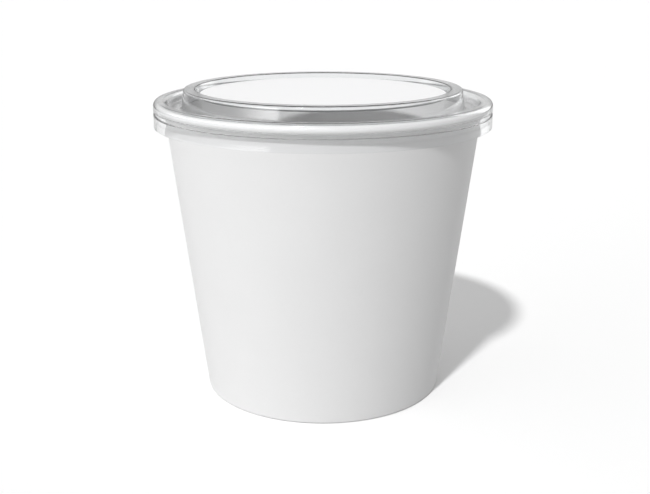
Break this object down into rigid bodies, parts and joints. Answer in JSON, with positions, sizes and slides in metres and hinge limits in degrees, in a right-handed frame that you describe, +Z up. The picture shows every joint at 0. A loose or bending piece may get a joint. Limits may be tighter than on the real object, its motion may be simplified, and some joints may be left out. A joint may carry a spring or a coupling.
{
  "type": "paper cup with lid",
  "caption": "Tapered white paper food cup with a rolled rim and a sunk base, closed by a clear press-on plastic lid with a raised ring and a white label disc; the lid lifts off.",
  "frame": {"origin": "centre of the foot, on the surface that the cup stands on", "axes": "+Z up along the axis of the cup; -Y towards the camera of the picture; the side seam is at +Y"},
  "size_m": [0.098, 0.098, 0.09],
  "materials": {
    "paperboard": "satin",
    "clear_plastic": "gloss",
    "label_paper": "satin"
  },
  "bodies": {
    "cup": {"cup_wall": "paperboard", "cup_base": "paperboard"},
    "lid": {"lid": "clear_plastic", "lid_label": "label_paper"}
  },
  "joints": [
    {"name": "lid_lift", "type": "slide", "parent": "cup", "child": "lid", "axis": [0, 0, 1], "range_m": [0, 0.08]}
  ]
}
